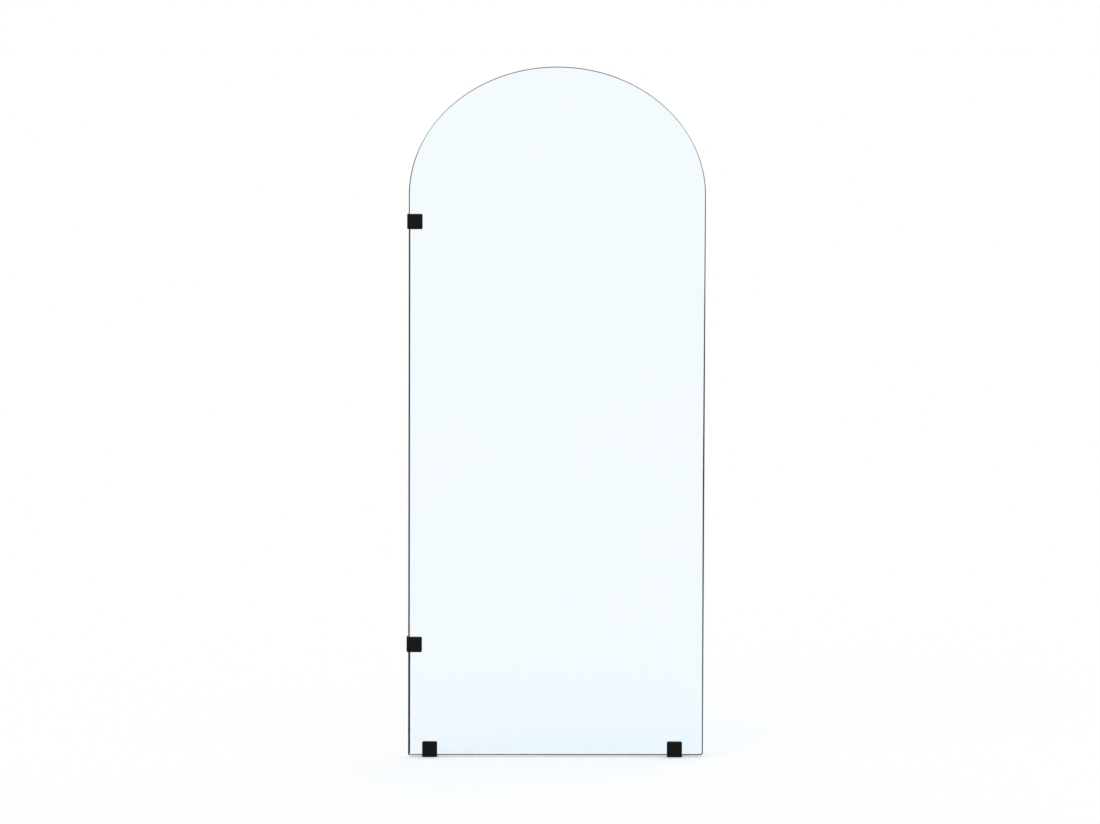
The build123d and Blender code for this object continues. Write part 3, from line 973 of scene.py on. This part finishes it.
def rubber_material(s):
    """Black rubber with a fine grain and a dusty bloom."""
    material, tree, shader, _ = new_material("black_rubber")
    skin = grain(tree, s.rubber_grain, cloud_size=0.006)
    dusty = maths(tree, "MULTIPLY", skin["Cloud"], s.rubber_bloom)
    looks = {
        "Base Color": blend(tree, dusty, s.rubber, s.rubber_dust),
        "Roughness": varied(tree, s.rubber_roughness, skin["Height"], by=0.15),
        "Specular IOR Level": 0.3,
        "Normal": bump(tree, skin["Height"], s.rubber_depth),
    }
    feed(tree, shader, looks)
    return material


def nylon_material(s):
    """Off-white nylon with faint flow marks."""
    material, tree, shader, _ = new_material("white_nylon")
    skin = grain(tree, grain_size=0.0005, cloud_size=0.003)
    looks = {
        "Base Color": blend(tree, skin["Cloud"], s.nylon, s.nylon_shade),
        "Roughness": varied(tree, s.nylon_roughness, skin["Height"], by=0.2),
        "Subsurface Weight": 0.15,
        "Subsurface Scale": 0.001,
        "Normal": bump(tree, skin["Height"], s.mark_depth),
    }
    feed(tree, shader, looks)
    return material


def finish(piece, node, material):
    """Puts a piece on the model in place of its CAD node, with its material."""
    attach(piece, "root")
    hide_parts(node)
    piece.data.materials.append(material)


# Studio


def seen_share(tree):
    """1 for rays that show the surroundings: from the camera, in a reflection or through glass."""
    rays = add(tree, "ShaderNodeLightPath").outputs
    direct = maths(tree, "MAXIMUM", rays["Is Camera Ray"], rays["Is Glossy Ray"])
    return maths(tree, "MAXIMUM", direct, rays["Is Transmission Ray"])


def lay_floor(s):
    """A wide matt floor that is lifted to white as it is seen, and keeps the shadows."""
    half = s.floor_half
    mesh = bpy.data.meshes.new("studio_floor")
    corners = [(-half, -half, 0.0), (half, -half, 0.0), (half, half, 0.0), (-half, half, 0.0)]
    mesh.from_pydata(corners, [], [(0, 1, 2, 3)])
    material, tree, shader, _ = new_material("pale_floor")
    looks = {
        "Base Color": rgba(s.floor),
        "Roughness": 1.0,
        "Specular IOR Level": 0.0,
        "Emission Color": WHITE,
        "Emission Strength": maths(tree, "MULTIPLY", seen_share(tree), s.floor_lift),
    }
    feed(tree, shader, looks)
    mesh.materials.append(material)
    placed("studio_floor", mesh)


def light_world(scene, s):
    """White surroundings: full white as they are seen, and dimmer as a light."""
    scene.world = bpy.data.worlds.new("White studio")
    scene.world.use_nodes = True
    tree = scene.world.node_tree
    tree.nodes.clear()
    brightness = varied(tree, s.sky, seen_share(tree), by=1.0 - s.sky)
    background = add(tree, "ShaderNodeBackground", {"Color": WHITE, "Strength": brightness})
    output = tree.nodes.new("ShaderNodeOutputWorld")
    tree.links.new(background.outputs[0], output.inputs["Surface"])


def add_lamp(name, energy, softness, turned):
    """A distant soft light, turned by these angles in degrees from pointing straight down."""
    light = bpy.data.lights.new(name, "SUN")
    light.energy = energy
    light.angle = softness
    placed(name, light).rotation_euler = Euler([radians(a) for a in turned])


def add_camera(scene, s):
    """A level camera looking along +Y, turned, tipped down and rolled by the settings."""
    data = bpy.data.cameras.new("Camera")
    data.lens = s.lens
    data.sensor_width = s.sensor
    data.clip_end = 4 * s.floor_half  # past the far corners of the floor
    camera = placed("Camera", data)
    camera.location = (s.camera_side, -s.camera_distance, s.camera_height)
    tipped = Euler((pi / 2 - s.camera_pitch, 0.0, -s.camera_yaw)).to_matrix()
    rolled = Euler((0.0, 0.0, s.camera_roll)).to_matrix()
    camera.rotation_euler = (tipped @ rolled).to_euler()
    scene.camera = camera


# Operators


class SCREEN_OT_glass_panel(bpy.types.Operator):
    """Makes the arched pane with its ground edges and bracket holes"""

    bl_idname = "shower_screen.glass_panel"
    bl_label = "Glass Panel"

    def execute(self, context):
        settings = context.scene.screen_glass
        finish(glass_mesh(settings), "glass_panel", glass_material(settings))
        return {"FINISHED"}


class SCREEN_OT_castings(bpy.types.Operator):
    """Makes the front jaws and bracket bodies in black powder coat"""

    bl_idname = "shower_screen.castings"
    bl_label = "Castings"

    def execute(self, context):
        sizes = context.scene.screen_clamps
        coat = coat_material(context.scene.screen_hardware)
        for bracket in BRACKETS:
            finish(front_jaw_mesh(bracket, sizes), f"{bracket}_front_jaw", coat)
            finish(bracket_body_mesh(bracket, sizes), f"{bracket}_bracket_body", coat)
        return {"FINISHED"}


class SCREEN_OT_screws(bpy.types.Operator):
    """Makes the threaded clamp screws in blackened steel"""

    bl_idname = "shower_screen.screws"
    bl_label = "Clamp Screws"

    def execute(self, context):
        sizes = context.scene.screen_clamps
        steel = screw_material(context.scene.screen_hardware)
        for bracket in BRACKETS:
            finish(screw_mesh(bracket, sizes), f"{bracket}_clamp_screw", steel)
        return {"FINISHED"}


class SCREEN_OT_soft_parts(bpy.types.Operator):
    """Makes the gaskets, edge pads and bushes"""

    bl_idname = "shower_screen.soft_parts"
    bl_label = "Gaskets, Pads and Bushes"

    def execute(self, context):
        sizes = context.scene.screen_clamps
        rubber = rubber_material(context.scene.screen_hardware)
        nylon = nylon_material(context.scene.screen_hardware)
        for bracket in BRACKETS:
            for kind in ("front_gasket", "rear_gasket"):
                finish(gasket_mesh(bracket, kind, sizes), f"{bracket}_{kind}", rubber)
            finish(edge_pad_mesh(bracket, sizes), f"{bracket}_edge_pad", rubber)
            finish(bush_mesh(bracket, sizes), f"{bracket}_hole_bush", nylon)
        return {"FINISHED"}


class SCREEN_OT_studio(bpy.types.Operator):
    """Sets up the pale floor, the white surroundings, the soft lights and the camera"""

    bl_idname = "shower_screen.studio"
    bl_label = "Studio"

    def execute(self, context):
        settings = context.scene.screen_studio
        lay_floor(settings)
        light_world(context.scene, settings)
        add_lamp("Key light", settings.key, settings.softness, KEY_TURN)
        add_lamp("Fill light", settings.fill, settings.softness, FILL_TURN)
        add_camera(context.scene, settings)
        context.scene.view_settings.view_transform = "Standard"
        return {"FINISHED"}


class SCREEN_PT_panel(bpy.types.Panel):
    """Lists the pieces of the shower screen and their settings"""

    bl_idname = "SCREEN_PT_panel"
    bl_label = "Shower Screen"
    bl_space_type = "VIEW_3D"
    bl_region_type = "UI"
    bl_category = "Shower Screen"

    def draw(self, context):
        for group in SETTINGS:
            box = self.layout.box()
            settings = getattr(context.scene, group)
            for name in settings.bl_rna.properties.keys():
                if name not in ("rna_type", "name"):
                    box.prop(settings, name)
        for operator in OPERATORS:
            self.layout.operator(operator.bl_idname)


OPERATORS = (
    SCREEN_OT_glass_panel,
    SCREEN_OT_castings,
    SCREEN_OT_screws,
    SCREEN_OT_soft_parts,
    SCREEN_OT_studio,
)
SETTINGS = {
    "screen_glass": GlassSettings,
    "screen_clamps": ClampSettings,
    "screen_hardware": HardwareSettings,
    "screen_studio": StudioSettings,
}


def register():
    """Registers the settings, operators and panel."""
    for kind in (*SETTINGS.values(), *OPERATORS, SCREEN_PT_panel):
        bpy.utils.register_class(kind)
    for name, kind in SETTINGS.items():
        setattr(bpy.types.Scene, name, PointerProperty(type=kind))


def unregister():
    """Takes away all that register adds."""
    for name in SETTINGS:
        delattr(bpy.types.Scene, name)
    for kind in reversed((*SETTINGS.values(), *OPERATORS, SCREEN_PT_panel)):
        bpy.utils.unregister_class(kind)


def main():
    """Makes everything in order."""
    register()
    bpy.ops.shower_screen.glass_panel()
    bpy.ops.shower_screen.castings()
    bpy.ops.shower_screen.screws()
    bpy.ops.shower_screen.soft_parts()
    bpy.ops.shower_screen.studio()


if __name__ == "__main__":
    main()
